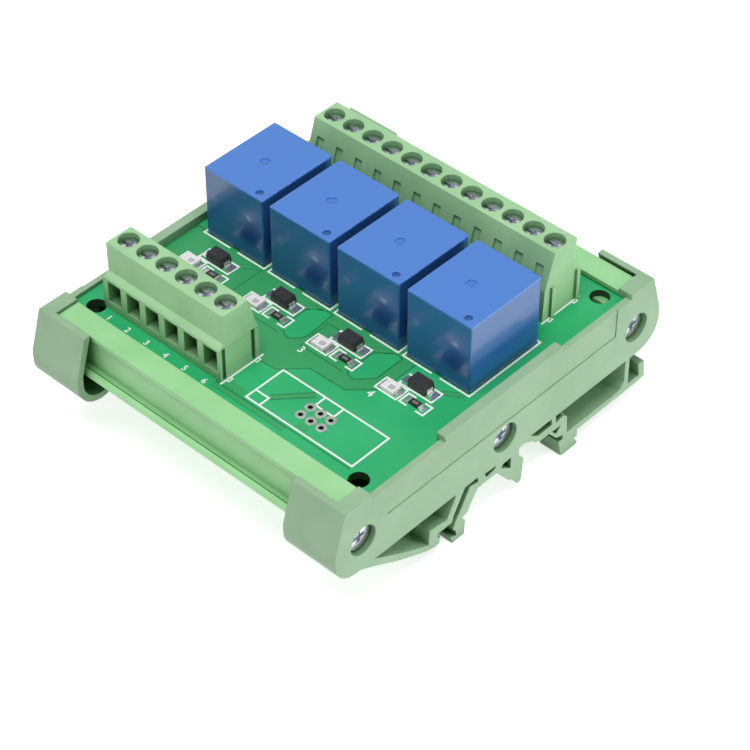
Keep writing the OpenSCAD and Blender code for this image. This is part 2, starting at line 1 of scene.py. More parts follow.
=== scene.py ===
# %% [markdown]
# # A relay module board in its rail-mount carrier
# The frame already holds every solid of this object at its real size: the green carrier, the circuit
# board, four blue relays, two terminal blocks and the small soldered parts. This notebook dresses it.
# Each solid gets the finish of its real material, and what is thinner than the frame can show is
# modelled here: white print, copper tracks under green lacquer, plated pads and solder.

# %% Load the frame
import math

import bpy
from mathutils import Matrix, Vector


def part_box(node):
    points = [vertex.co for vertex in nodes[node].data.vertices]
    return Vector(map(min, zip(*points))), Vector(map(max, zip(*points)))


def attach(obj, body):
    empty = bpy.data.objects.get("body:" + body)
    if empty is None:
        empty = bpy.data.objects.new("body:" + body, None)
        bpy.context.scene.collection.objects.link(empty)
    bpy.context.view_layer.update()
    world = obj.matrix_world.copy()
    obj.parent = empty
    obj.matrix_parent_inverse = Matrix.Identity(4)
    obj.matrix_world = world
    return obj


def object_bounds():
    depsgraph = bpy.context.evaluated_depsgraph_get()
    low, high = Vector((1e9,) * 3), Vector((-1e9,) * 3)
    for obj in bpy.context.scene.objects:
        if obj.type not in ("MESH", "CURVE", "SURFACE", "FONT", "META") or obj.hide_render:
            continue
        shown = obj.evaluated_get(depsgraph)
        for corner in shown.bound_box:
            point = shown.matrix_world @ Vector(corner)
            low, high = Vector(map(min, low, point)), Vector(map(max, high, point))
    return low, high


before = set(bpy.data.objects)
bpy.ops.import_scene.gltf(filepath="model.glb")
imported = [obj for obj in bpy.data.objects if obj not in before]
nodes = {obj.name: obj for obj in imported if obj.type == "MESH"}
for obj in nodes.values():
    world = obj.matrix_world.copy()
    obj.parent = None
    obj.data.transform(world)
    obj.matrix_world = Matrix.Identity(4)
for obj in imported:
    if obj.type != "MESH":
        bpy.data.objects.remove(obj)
cad_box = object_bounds()
MM = 0.001
print(len(nodes), "solid nodes, overall size in mm:",
      [round((high - low) / MM, 1) for low, high in zip(*cad_box)])

# %% [markdown]
# ## Where things are
# The top of the board, the middle of each relay and the ends of the two terminal blocks are read from
# the boxes of their nodes. So the solder and the blocks' print follow their parts if the frame is built
# again with other sizes, and the relays' print follows them along X. The copper, the header and the
# other places along Y are typed, in millimetres from the middle of the board. Ribs stand out of the
# ends of the blocks, so the flat ends are found from the rows of screws: one row has six more.

# %% Read the main places from the frame
board_low, board_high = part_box("circuit_board")
board_mid = (board_low + board_high) / 2
board_top = board_high.z
relay_boxes = [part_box(f"relay_{k}") for k in (1, 2, 3, 4)]
relay_middles = [(low + high) / 2 for low, high in relay_boxes]
relay_pitch = (relay_middles[3].x - relay_middles[0].x) / 3
front_low, front_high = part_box("front_terminal_housing")
rear_low, rear_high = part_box("rear_terminal_housing")
front_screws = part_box("front_terminal_screws")
rear_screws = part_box("rear_terminal_screws")
FRONT_WAYS = 6
REAR_WAYS = 12
row_lengths = [high.x - low.x for low, high in (front_screws, rear_screws)]
way_pitch = (row_lengths[1] - row_lengths[0]) / (REAR_WAYS - FRONT_WAYS)
front_end = (front_screws[0].x + front_screws[1].x) / 2 + FRONT_WAYS / 2 * way_pitch
rear_end = (rear_screws[0].x + rear_screws[1].x) / 2 + REAR_WAYS / 2 * way_pitch
print("board top at", round(board_top / MM, 2), "mm, relays every", round(relay_pitch / MM, 2),
      "mm, wire ways every", round(way_pitch / MM, 2), "mm")

# %% [markdown]
# ## A small language for shader nodes
# A finish is a graph of nodes. Drawn by hand it is easy to read, but in a script it soon turns into
# long lists of links. One class wraps an output socket, so that `1 - mask * 0.5` adds the Math nodes it
# needs. Every other kind of node comes from one method that takes its settings and its inputs.

# %% Wires and finishes
def plug(socket, value):
    """Links a wire to an input socket, or sets the socket to a plain value."""
    if isinstance(value, Wire):
        value.socket.id_data.links.new(value.socket, socket)
    else:
        socket.default_value = value


class Wire:
    """An output socket whose arithmetic adds Math nodes."""

    def __init__(self, socket):
        self.socket = socket

    def maths(self, operation, *others):
        node = self.socket.id_data.nodes.new("ShaderNodeMath")
        node.operation = operation
        for socket, value in zip(node.inputs, (self, *others)):
            plug(socket, value)
        return Wire(node.outputs[0])

    def __add__(self, other):
        return self.maths("ADD", other)

    def __sub__(self, other):
        return self.maths("SUBTRACT", other)

    def __rsub__(self, other):
        return (self * -1).maths("ADD", other)

    def __mul__(self, other):
        return self.maths("MULTIPLY", other)

    def __gt__(self, other):
        return self.maths("GREATER_THAN", other)

    def __lt__(self, other):
        return self.maths("LESS_THAN", other)

    def __abs__(self):
        return self.maths("ABSOLUTE")

    __radd__ = __add__
    __rmul__ = __mul__


class Finish:
    """A material being made: its node tree, its shader and the place on the object."""

    def __init__(self, name):
        self.material = bpy.data.materials.new(name)
        self.material.use_nodes = True
        self.tree = self.material.node_tree
        self.shader = self.tree.nodes["Principled BSDF"]
        self.place = self.node("ShaderNodeTexCoord", output="Object")

    def node(self, kind, settings=None, inputs=None, output=0):
        node = self.tree.nodes.new(kind)
        for name, value in (settings or {}).items():
            setattr(node, name, value)
        for key, value in (inputs or {}).items():
            plug(node.inputs[key], value)
        return Wire(node.outputs[output])

    def blend(self, amount, first, second):
        return self.node("ShaderNodeMix", {"data_type": "RGBA"}, {0: amount, 6: first, 7: second}, 2)

    def noise(self, size, detail=2.0):
        """Soft noise whose blotches are about size across, from 0 to 1."""
        return self.node("ShaderNodeTexNoise", {"noise_dimensions": "3D"},
                         {"Vector": self.place, "Scale": 1 / size, "Detail": detail})

    def ramp(self, value, low, high):
        """Brings a value from between low and high to between 0 and 1."""
        return self.node("ShaderNodeMapRange", {"clamp": True},
                         {"Value": value, "From Min": low, "From Max": high})

    def rounded(self, radius, samples):
        """The normal, rounded off at each edge."""
        return self.node("ShaderNodeBevel", {"samples": samples}, {"Radius": radius})

    def bump(self, height, strength, depth, normal=None):
        """The normal of a bumpy surface, on top of another normal if one is given."""
        inputs = {"Strength": strength, "Distance": depth, "Height": height}
        if normal:
            inputs["Normal"] = normal
        return self.node("ShaderNodeBump", None, inputs)

    def axes(self):
        split = self.tree.nodes.new("ShaderNodeSeparateXYZ")
        plug(split.inputs[0], self.place)
        return [Wire(socket) for socket in split.outputs]

    def near_relay(self):
        """Place along X from the middle of the nearest relay, place along Y, height over the board."""
        x, y, z = self.axes()
        start = relay_middles[0].x - relay_pitch / 2
        return (x - start).maths("MODULO", relay_pitch) - relay_pitch / 2, y, z - board_top

    def surface(self, **values):
        """Sets shader sockets: base_color=... goes to Base Color."""
        for name, value in values.items():
            plug(self.shader.inputs[name.replace("_", " ").title()], value)


def srgb(red, green, blue):
    """A screen colour, 0 to 255 each, as the linear colour that shaders take."""
    parts = [value / 255 for value in (red, green, blue)]
    linear = [p / 12.92 if p <= 0.04045 else ((p + 0.055) / 1.055) ** 2.4 for p in parts]
    return (*linear, 1.0)


def wear(material, *names):
    """Puts a material on CAD nodes."""
    for name in names:
        slots = nodes[name].data.materials
        slots.clear()
        slots.append(material)


print("shader helpers ready; mid grey is", [round(value, 3) for value in srgb(128, 128, 128)])

# %% [markdown]
# ## Moulded green plastic
# The carrier and the terminal blocks are plain moulded plastic: dull, a little soft in the light, with
# a fine grain and edges that the mould leaves round. A bevel modifier would need clean
# topology, which the frame's triangles don't have, so a Bevel node rounds the normal at each edge. The
# same node finds the edges, which get a painted highlight: the plastic is made paler there. In pockets
# an occlusion node paints shade: there the colour is multiplied to a darker, stronger green.

# %% The plastic finish
GRAIN_DEPTH = 0.03 * MM
FINE_GRAIN_DEPTH = 0.02 * MM
MOULD_EDGE = 0.22 * MM
BLOTCH = 9 * MM
# How far the occlusion node looks, and the green that multiplies the colour as painted shade in pockets.
POCKET = 8 * MM
PAINTED_SHADE_GREEN = srgb(104, 150, 106)


def moulded_plastic(name, colour, pale, grain, roughness):
    finish = Finish(name)
    rounded = finish.rounded(MOULD_EDGE, 6)
    true_normal = finish.node("ShaderNodeNewGeometry", output="Normal")
    facing = finish.node("ShaderNodeVectorMath", {"operation": "DOT_PRODUCT"},
                         {0: rounded, 1: true_normal}, "Value")
    # Painted highlight: the colour turns paler along every edge that the Bevel node rounds.
    edge_highlight = finish.ramp(1 - facing, 0.01, 0.25)
    cloudy = finish.noise(BLOTCH, 3)
    speckle = finish.noise(grain, 2)
    tinted = finish.blend(finish.ramp(cloudy, 0.35, 0.75) * 0.5, colour, pale)
    highlighted = finish.blend(edge_highlight * 0.45 + speckle * 0.06, tinted, pale)
    # Painted shade: where the occlusion node finds little open space the colour is multiplied by a
    # darker green.
    openness = finish.node("ShaderNodeAmbientOcclusion", {"samples": 4}, {"Distance": POCKET}, "AO")
    pocket_shade = finish.node("ShaderNodeMix", {"data_type": "RGBA", "blend_type": "MULTIPLY"},
                       {0: 1.0, 6: highlighted, 7: PAINTED_SHADE_GREEN}, 2)
    tone = finish.blend(finish.ramp(openness, 0.1, 0.68), pocket_shade, highlighted)
    finish.surface(base_color=tone, roughness=cloudy * 0.12 + (roughness - 0.06),
                   normal=finish.bump(speckle, 0.35, GRAIN_DEPTH, rounded))
    return finish


side_plastic = moulded_plastic("side_plastic", srgb(148, 183, 147), srgb(174, 206, 172),
                               grain=0.25 * MM, roughness=0.55)
profile_plastic = moulded_plastic("profile_plastic", srgb(156, 217, 152), srgb(182, 236, 178),
                                  grain=0.4 * MM, roughness=0.42)
terminal_plastic = moulded_plastic("terminal_plastic", srgb(158, 206, 154), srgb(190, 234, 184),
                                   grain=0.3 * MM, roughness=0.45)
wear(side_plastic.material, "side_element_right", "side_element_left")
wear(profile_plastic.material, "carrier_profile")
wear(terminal_plastic.material, "front_terminal_housing", "rear_terminal_housing")
print("green plastics:", [m.name for m in bpy.data.materials if m.name.endswith("_plastic")])

# %% [markdown]
# ## Drawn lines on an extrusion
# The profile is pulled through a die, which leaves faint lines all along it. A noise that is stretched
# along X does that: the place is squeezed in one direction before the noise reads it.

# %% Die lines on the profile
stretched = profile_plastic.node("ShaderNodeVectorMath", {"operation": "MULTIPLY"},
                                 {0: profile_plastic.place, 1: (0.01, 1.0, 1.0)})
die_lines = profile_plastic.node("ShaderNodeTexNoise", None,
                                 {"Vector": stretched, "Scale": 2200, "Detail": 2})
grain_bump = Wire(profile_plastic.shader.inputs["Normal"].links[0].from_socket)
profile_plastic.surface(normal=profile_plastic.bump(die_lines, 0.25, GRAIN_DEPTH, grain_bump))
print("die lines run along X")

# %% [markdown]
# ## The relay cases
# A sealed relay has a glossy blue case. Its walls are painted darker blues than its top as painted
# shade, darker towards the bottom, with a darker round patch lower down, and higher up each wall has a
# painted glint in a soft halo and two smaller painted highlights. The patches repeat from relay to
# relay, so the pattern is written once round the middle of a case, and a modulo of the place along X
# carries it to all four.

# %% The blue case finish
def soft_spot(finish, across, along, middle, size):
    """A round patch, 1 in its middle and 0 outside, from two distances."""
    first = (across - middle[0]) * (1 / size[0])
    second = (along - middle[1]) * (1 / size[1])
    distance = (first * first + second * second).maths("SQRT")
    return finish.ramp(1 - distance, 0.0, 0.7)


CASE_WALL_TOP = 15.6 * MM
relay_case = Finish("relay_case")
rounded = relay_case.rounded(0.25 * MM, 6)
local_x, _, height = relay_case.near_relay()
mottle = relay_case.noise(2.2 * MM, 3)
clouds = relay_case.noise(6 * MM, 2)
# Painted shade: below the top the walls take darker blues than the top.
below_top = height < CASE_WALL_TOP
# Painted highlights: a glint in a soft halo, and two smaller pale spots.
glint = soft_spot(relay_case, local_x, height, (4.0 * MM, 10.0 * MM), (1.1 * MM, 0.8 * MM))
glint_halo = soft_spot(relay_case, local_x, height, (3.8 * MM, 10.6 * MM), (2.8 * MM, 2.0 * MM))
small_highlight = soft_spot(relay_case, local_x, height, (-5.3 * MM, 9.6 * MM), (1.2 * MM, 1.1 * MM))
low_highlight = soft_spot(relay_case, local_x, height, (6.4 * MM, 4.5 * MM), (0.7 * MM, 0.7 * MM))
# A darker round patch lower on each wall.
dark_round_patch = soft_spot(relay_case, local_x, height, (4.3 * MM, 5.4 * MM), (4.0 * MM, 4.2 * MM))
# The top's blue, then the lighter and darker blues of the painted shade on the walls.
case_blue = srgb(64, 127, 214)
upper_wall = srgb(52, 106, 172)
lower_wall = srgb(36, 90, 158)
# Painted shade on the walls: darker towards the bottom, with a noisy edge.
wall_shade_ramp = relay_case.ramp(height + clouds * (6 * MM), 4 * MM, 15 * MM)
wall = relay_case.blend(wall_shade_ramp, lower_wall, upper_wall)
wall = relay_case.blend(dark_round_patch * 0.6, wall, srgb(24, 60, 128))
# The painted halo, glint and small highlights are blended over the wall.
wall = relay_case.blend(glint_halo * (mottle * 0.6 + 0.1), wall, srgb(112, 128, 190))
wall = relay_case.blend(glint * 0.7, wall, srgb(158, 170, 220))
wall = relay_case.blend(small_highlight * 0.35 + low_highlight * 0.4, wall, srgb(104, 140, 196))
case_bump = relay_case.bump(relay_case.noise(0.3 * MM), 0.12, GRAIN_DEPTH, rounded)
relay_case.surface(base_color=relay_case.blend(below_top, case_blue, wall),
                   roughness=0.16 + mottle * 0.12, normal=case_bump, coat_weight=0.2)
relay_case.shader.inputs["Coat Roughness"].default_value = 0.06
wear(relay_case.material, *[f"relay_{k}" for k in (1, 2, 3, 4)])
print("relay case patches repeat every", round(relay_pitch / MM, 2), "mm")

# %% [markdown]
# ## Green lacquer on the board
# Solder mask is a clear green lacquer over copper and glass fibre. It is glossy, a little uneven, and
# bright over the wide copper plane, duller over separate tracks and dark in the gaps between them, so
# it is made three times. The cut edge of the board shows pale yellow fibre; its holes get painted shade.

# %% The board finish
def lacquer(name, colour, pale):
    finish = Finish(name)
    cloudy = finish.noise(14 * MM, 3)
    weave = finish.node("ShaderNodeTexWave", {"wave_type": "BANDS", "bands_direction": "DIAGONAL"},
                        {"Vector": finish.place, "Scale": 900, "Distortion": 1.5})
    tone = finish.blend(finish.ramp(cloudy, 0.35, 0.7) * 0.8, colour, pale)
    finish.surface(base_color=tone, roughness=0.3 + cloudy * 0.12,
                   normal=finish.bump(weave, 0.06, FINE_GRAIN_DEPTH))
    finish.shader.inputs["Specular IOR Level"].default_value = 0.22
    return finish, tone


board_lacquer, board_tone = lacquer("board_lacquer", srgb(46, 176, 110), srgb(60, 188, 122))
x, y, z = board_lacquer.axes()
half = (board_high - board_low) / 2
SKIN = 0.05 * MM
on_faces = abs(z - board_mid.z) > half.z - SKIN
at_ends = abs(x - board_mid.x) > half.x - SKIN
at_sides = abs(y - board_mid.y) > half.y - SKIN
fibre = board_lacquer.blend(board_lacquer.noise(0.5 * MM), srgb(160, 168, 104), srgb(192, 198, 140))
# Painted shade: the walls of the holes are dark green, as if no light reached into them.
hole_shade = board_lacquer.blend(board_lacquer.noise(0.5 * MM), srgb(20, 44, 26), srgb(60, 84, 58))
cut_wall = board_lacquer.blend(at_ends.maths("MAXIMUM", at_sides), hole_shade, fibre)
board_lacquer.surface(base_color=board_lacquer.blend(on_faces, cut_wall, board_tone))
track_lacquer, _ = lacquer("track_lacquer", srgb(58, 160, 97), srgb(68, 170, 106))
gap_lacquer, _ = lacquer("gap_lacquer", srgb(38, 126, 74), srgb(48, 140, 86))
wear(board_lacquer.material, "circuit_board")
print("three greens:", *[finish.material.name for finish in (board_lacquer, track_lacquer, gap_lacquer)])

# %% [markdown]
# ## Metal: plated screws, tinned leads, solder
# Zinc plating is bright and a little cloudy, tin and solder are whiter and softer. All are metals, so
# their colour is in the reflection, and what makes them look real is uneven roughness.

# %% Metal finishes
def plated(name, colour, dull, roughness, scratch=0.35 * MM):
    finish = Finish(name)
    cloudy = finish.noise(1.1 * MM, 3)
    tone = finish.blend(finish.ramp(cloudy, 0.3, 0.75), colour, dull)
    bump = finish.bump(finish.noise(scratch, 4), 0.3, FINE_GRAIN_DEPTH, finish.rounded(0.12 * MM, 4))
    finish.surface(base_color=tone, metallic=1.0, roughness=cloudy * 0.2 + roughness, normal=bump)
    return finish.material


screw_metal = plated("screw_metal", srgb(226, 228, 236), srgb(176, 180, 190), 0.16)
tinned_metal = plated("tinned_metal", srgb(232, 230, 226), srgb(190, 188, 184), 0.26)
cage_metal = plated("cage_metal", srgb(176, 166, 144), srgb(128, 118, 100), 0.35)
ring_metal = plated("ring_metal", srgb(186, 190, 184), srgb(146, 152, 146), 0.4)
solder_metal = plated("solder_metal", srgb(236, 236, 238), srgb(196, 196, 200), 0.2, 0.2 * MM)
wear(screw_metal, "carrier_screws_right", "carrier_screws_left",
     "front_terminal_screws", "rear_terminal_screws")
wear(tinned_metal, "relay_pins", "diode_leads", "indicator_leads", "resistor_end_caps",
     "front_terminal_blades", "rear_terminal_blades")
wear(cage_metal, "front_terminal_cages", "rear_terminal_cages")
wear(solder_metal, "solder_joints")
metals = screw_metal, tinned_metal, cage_metal, ring_metal, solder_metal
print("metals:", *[metal.name for metal in metals])

# %% [markdown]
# ## Moulded, glazed and clear small parts
# The diodes are black and sandy. The resistors are ceramic under a dark glaze with a grey middle, and
# the indicators are white cups of clear resin with a square chip below.
# The chip and the grey middle are painted by place: inside a small rectangle the colour changes.

# %% Small part finishes
def small_part(name, colour, pale, roughness, grain):
    finish = Finish(name)
    sand = finish.noise(grain, 3)
    bump = finish.bump(sand, 0.5, FINE_GRAIN_DEPTH, finish.rounded(0.1 * MM, 4))
    tone = finish.blend(finish.ramp(sand, 0.3, 0.8), colour, pale)
    finish.surface(base_color=tone, roughness=sand * 0.15 + roughness, normal=bump)
    return finish


def patch(finish, middle, size):
    """1 inside a rectangle that is placed from the middle of the nearest relay, else 0."""
    across, along, _ = finish.near_relay()
    inside_x = abs(across - middle[0] * MM) < size[0] * MM / 2
    inside_y = abs(along - middle[1] * MM) < size[1] * MM / 2
    return inside_x * inside_y


diode_black = small_part("diode_black", srgb(22, 22, 24), srgb(60, 60, 64), 0.42, 0.12 * MM)
lamp_white = small_part("lamp_white", srgb(238, 236, 234), srgb(252, 250, 248), 0.4, 0.3 * MM)
resistor_glaze = small_part("resistor_glaze", srgb(26, 24, 24), srgb(46, 42, 40), 0.25, 0.2 * MM)
lens_resin = small_part("lens_resin", srgb(240, 238, 236), srgb(252, 250, 248), 0.12, 0.5 * MM)
grey_middle = resistor_glaze, (2.23, -12.3), (1.3, 0.65), srgb(126, 120, 120)
square_chip = lens_resin, (-3.35, -12.45), (1.3, 1.2), srgb(196, 192, 202)
for finish, middle, size, tone in (grey_middle, square_chip):
    plain = Wire(finish.shader.inputs["Base Color"].links[0].from_socket)
    finish.surface(base_color=finish.blend(patch(finish, middle, size), plain, tone))
wear(diode_black.material, *[f"diode_{k}" for k in (1, 2, 3, 4)])
wear(lamp_white.material, *[f"indicator_{k}" for k in (1, 2, 3, 4)])
wear(resistor_glaze.material, *[f"resistor_{k}" for k in (1, 2, 3, 4)])
wear(lens_resin.material, "indicator_lenses")
print("small part finishes done,", len(bpy.data.materials), "materials so far")

# %% [markdown]
# ## Modelling thin things
# Print, copper and solder are only hundredths of a millimetre thick, too thin for the frame, but they
# are what the eye reads on a board. Each is a flat sheet that is laid at its place, given its outline in
# edit mode and then lifted by its thickness. A few small functions do this, and each leaves its object
# at the origin with the place in the mesh.

# %% Sheets, outlines and rings
RING_CORNERS = 32


def lift_and_close(thickness):
    """Gives the flat faces being edited a thickness, points the normals outward and leaves edit mode."""
    bpy.ops.mesh.select_all(action="SELECT")
    bpy.ops.mesh.extrude_region_move(TRANSFORM_OT_translate={"value": (0, 0, thickness)})
    bpy.ops.mesh.select_all(action="SELECT")
    bpy.ops.mesh.normals_make_consistent(inside=False)
    bpy.ops.object.mode_set(mode="OBJECT")
    return bpy.context.object


def sheet(x_span, y_span, z):
    """Starts a rectangle at its place and stays in edit mode."""
    bpy.ops.object.select_all(action="DESELECT")
    bpy.ops.mesh.primitive_plane_add(size=1, enter_editmode=True, location=(0, 0, 0))
    bpy.ops.transform.resize(value=(x_span[1] - x_span[0], y_span[1] - y_span[0], 1),
                             center_override=(0, 0, 0))
    bpy.ops.transform.translate(value=(sum(x_span) / 2, sum(y_span) / 2, z))


def frame_line(x_span, y_span, z, line, thickness, keep=None):
    """A rectangular outline. keep cuts it: (axis, place, side) leaves the part on that side."""
    sheet(x_span, y_span, z)
    bpy.ops.mesh.inset(thickness=line)
    bpy.ops.mesh.delete(type="FACE")
    if keep:
        axis, place, side = keep
        point = [0, 0, 0]
        direction = [0, 0, 0]
        point[axis] = place
        direction[axis] = -side
        bpy.ops.mesh.select_all(action="SELECT")
        bpy.ops.mesh.bisect(plane_co=point, plane_no=direction, clear_outer=True)
    return lift_and_close(thickness)


def ring(x, y, z, inner, outer, thickness):
    """A flat ring round a hole."""
    bpy.ops.object.select_all(action="DESELECT")
    bpy.ops.mesh.primitive_circle_add(vertices=RING_CORNERS, radius=outer, fill_type="NGON",
                                      enter_editmode=True, location=(0, 0, 0))
    bpy.ops.mesh.inset(thickness=outer - inner)
    bpy.ops.mesh.delete(type="FACE")
    bpy.ops.mesh.select_all(action="SELECT")
    bpy.ops.transform.translate(value=(x, y, z))
    return lift_and_close(thickness)


def outline_sheet(points, z, corner, thickness):
    """A sheet with any outline: its corners are walked as vertices, filled, then rounded."""
    sheet((-0.5 * MM, 0.5 * MM), (-0.5 * MM, 0.5 * MM), 0)
    bpy.ops.mesh.merge(type="CENTER")
    bpy.ops.transform.translate(value=(*points[0], z))
    for before, after in zip(points, points[1:]):
        step = (after[0] - before[0], after[1] - before[1], 0)
        bpy.ops.mesh.extrude_vertices_move(TRANSFORM_OT_translate={"value": step})
    bpy.ops.mesh.select_all(action="SELECT")
    bpy.ops.mesh.edge_face_add()
    bpy.ops.mesh.bevel(offset=corner, segments=4, affect="VERTICES")
    return lift_and_close(thickness)


def stroke(points, width, z, thickness):
    """A line of some width along points, with mitred corners."""
    path = [Vector(point) for point in points]
    sides = []
    for sign in (1, -1):
        side = []
        for k, point in enumerate(path):
            starts = path[max(k - 1, 0):k + 1]
            ends = path[max(k, 1):k + 2]
            legs = [(end - start).normalized() for start, end in zip(starts, ends)]
            along = sum(legs, Vector((0, 0))).normalized()
            across = Vector((-along.y, along.x))
            stretch = 1 / across.dot(Vector((-legs[0].y, legs[0].x)))
            side.append(point + across * (sign * width / 2 * stretch))
        sides.append(side)
    return outline_sheet([tuple(point) for point in sides[0] + sides[1][::-1]], z, width / 8, thickness)


def join_as(name, parts, material):
    """Joins parts into one named piece with one material, riding on the body."""
    bpy.ops.object.select_all(action="DESELECT")
    for part in parts:
        part.select_set(True)
    bpy.context.view_layer.objects.active = parts[0]
    if len(parts) > 1:
        bpy.ops.object.join()
    piece = bpy.context.object
    piece.name = name
    piece.data.name = name
    piece.data.materials.clear()
    piece.data.materials.append(material)
    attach(piece, "root")
    print(name, "made of", len(piece.data.polygons), "faces")


def copies(first, steps):
    """Copies of a part with their own mesh, each moved by a step."""
    parts = [first]
    for step in steps:
        twin = first.copy()
        twin.data = first.data.copy()
        twin.data.transform(Matrix.Translation(step))
        bpy.context.scene.collection.objects.link(twin)
        parts.append(twin)
    return parts


relay_steps = [(k * relay_pitch, 0, 0) for k in (1, 2, 3)]
first_relay = relay_middles[0].x
print("helpers ready; the small parts repeat", len(relay_steps) + 1, "times")

# %% [markdown]
# ## Copper under the lacquer
# Nearly all of the board is one bright copper plane, so the board itself has that tone. The separate
# tracks in front of the relays are laid on it as thin sheets, each over a slightly wider dark one that
# shows round it as the gap. Two bright islands lie in the broad dull track, so they come one step
# higher again. The corners of each outline follow the lines that can be seen between the parts.

# %% Copper areas
LAYER = 0.006 * MM
GAP = 0.3 * MM
GROOVE = 0.26 * MM
COPPER_CORNER = 0.4 * MM
HEADER_TRACK = 0.9 * MM
EDGE_TRACK = 1.0 * MM
PAD_TRACK = 1.0 * MM
KEY_TRACK = 2.4 * MM


def mm_points(*pairs):
    return [(x * MM, y * MM) for x, y in pairs]


def layer(points, level):
    return outline_sheet(points, board_top, COPPER_CORNER, level * LAYER)


def track(points, width, level):
    return stroke(points, width, board_top, level * LAYER)


def grown(points, gap):
    """The same outline, counter-clockwise, with each corner moved outward by a gap."""
    corners = [Vector(point) for point in points]
    out = []
    for before, here, after in zip(corners[-1:] + corners, corners, corners[1:] + corners[:1]):
        first = (here - before).normalized()
        second = (after - here).normalized()
        normals = [Vector((leg.y, -leg.x)) for leg in (first, second)]
        middle = (normals[0] + normals[1]).normalized()
        out.append(tuple(here + middle * (gap / middle.dot(normals[0]))))
    return out


broad_track = mm_points((-36.6, -23.0), (1.0, -22.8), (3.2, -22.6), (7.5, -18.2), (16.3, -18.0),
                        (21.0, -13.3), (21.0, -3.6), (-36.6, -3.6))
left_island = mm_points((-4.0, -7.0), (-4.0, -13.2), (-2.4, -14.7), (-1.0, -14.9), (0.6, -13.4),
                        (1.0, -11.8), (0.4, -5.0), (-2.0, -5.0))
right_island = mm_points((13.4, -7.5), (13.4, -14.4), (15.2, -15.1), (18.2, -12.0), (18.1, -5.0),
                         (16.4, -5.0))
islands = [left_island, right_island]
header_track = mm_points((7.7, -28.8), (13.3, -22.7))
edge_track = mm_points((-2.7, -33.1), (15.3, -33.1))
low_band = mm_points((-1.0, -31.9), (3.9, -31.9), (3.9, -30.4), (-1.0, -30.2))
key_track = mm_points((17.3, -31.1), (17.3, -29.7))
pad_track = [(first_relay + x * MM, y * MM) for x, y in ((3.6, -7.0), (7.4, -4.5))]
dark_lines = [mm_points((-18.2, -13.4), (-18.2, -4.6)),
              mm_points((-13.5, -15.2), (-4.6, -15.2), (-3.6, -15.6)),
              mm_points((1.6, -14.9), (12.6, -14.9)),
              mm_points((1.7, -12.5), (1.6, -7.2), (4.6, -7.0)),
              mm_points((-2.7, -32.3), (31.0, -32.3))]
dark_parts = [layer(grown(broad_track, GAP), 1)]
dark_parts += [layer(grown(points, GAP), 3) for points in islands]
dark_parts += [track(line, GROOVE, 3) for line in dark_lines]
dark_parts += [track(header_track, HEADER_TRACK + 2 * GAP, 1), track(edge_track, EDGE_TRACK + GAP, 1)]
dark_parts += copies(track(pad_track, PAD_TRACK + GAP, 3), relay_steps)
join_as("copper_gaps", dark_parts, gap_lacquer.material)
dull_parts = [layer(broad_track, 2), layer(low_band, 2)]
dull_parts += [track(header_track, HEADER_TRACK, 2), track(edge_track, EDGE_TRACK, 2),
               track(key_track, KEY_TRACK, 2)]
dull_parts += copies(track(pad_track, PAD_TRACK, 4), relay_steps)
join_as("copper_tracks", dull_parts, track_lacquer.material)
bright_parts = [layer(points, 4) for points in islands]
join_as("copper_islands", bright_parts, board_lacquer.material)

# %% [markdown]
# ## White print
# Boxes show where each part is soldered, and plain figures count the wire ways and the channels. Ink is
# laid through a screen, so its lines are about 0.4 mm wide and stand a little above the lacquer.

# %% White ink
ink_material = Finish("white_ink")
ink_mottle = ink_material.noise(0.25 * MM, 3)
ink_material.surface(base_color=ink_material.blend(ink_mottle, srgb(244, 248, 244), srgb(255, 255, 255)),
                     roughness=ink_mottle * 0.2 + 0.45,
                     normal=ink_material.bump(ink_mottle, 0.4, FINE_GRAIN_DEPTH))
white_ink = ink_material.material
INK = 0.035 * MM
LINE = 0.38 * MM
ink_z = board_top


def relative_box(x_span, y_span, keep=None):
    """An outline whose x places are counted from the middle of the first relay."""
    spans = [first_relay + x * MM for x in x_span], [y * MM for y in y_span]
    if keep:
        keep = (keep[0], first_relay + keep[1] * MM, keep[2])
    return frame_line(*spans, ink_z, LINE, INK, keep)


relay_box = (-8.4, 8.2), (-4.4, 15.9)
channel_print = [
    relative_box(*relay_box, (0, -1.1, -1)),
    relative_box(*relay_box, (0, 0.9, 1)),
    relative_box((-3.95, 4.28), (-10.25, -6.85)),
    relative_box((-6.5, -1.0), (-14.0, -10.3)),
    relative_box((-0.7, 5.35), (-13.8, -10.75), (0, 1.3, -1)),
    relative_box((-0.7, 5.35), (-13.8, -10.75), (0, 3.4, 1)),
]
channel_boxes = [part for first in channel_print for part in copies(first, relay_steps)]
join_as("channel_print", channel_boxes, white_ink)

# %% Header and terminal print
TOUCH = 0.01 * MM
header_left, header_right, header_foot, header_top = 4.2, 30.8, -31.8, -21.8
header_span = (header_left * MM, header_right * MM), (header_foot * MM, header_top * MM)
inner_left = header_left + (LINE + TOUCH) / MM
inner_foot = header_foot + (LINE + TOUCH) / MM
inner_top = header_top - (LINE + TOUCH) / MM
header_lines = [mm_points((inner_left, -29.1), (7.7, -29.1), (7.7, inner_foot)),
                mm_points((15.1, inner_top), (15.1, -24.7), (16.8, -24.7)),
                mm_points((19.6, inner_top), (19.6, -24.7), (17.8, -24.7))]
header_print = [frame_line(*header_span, ink_z, LINE, INK)]
header_print += [stroke(line, LINE, ink_z, INK) for line in header_lines]
join_as("header_print", header_print, white_ink)

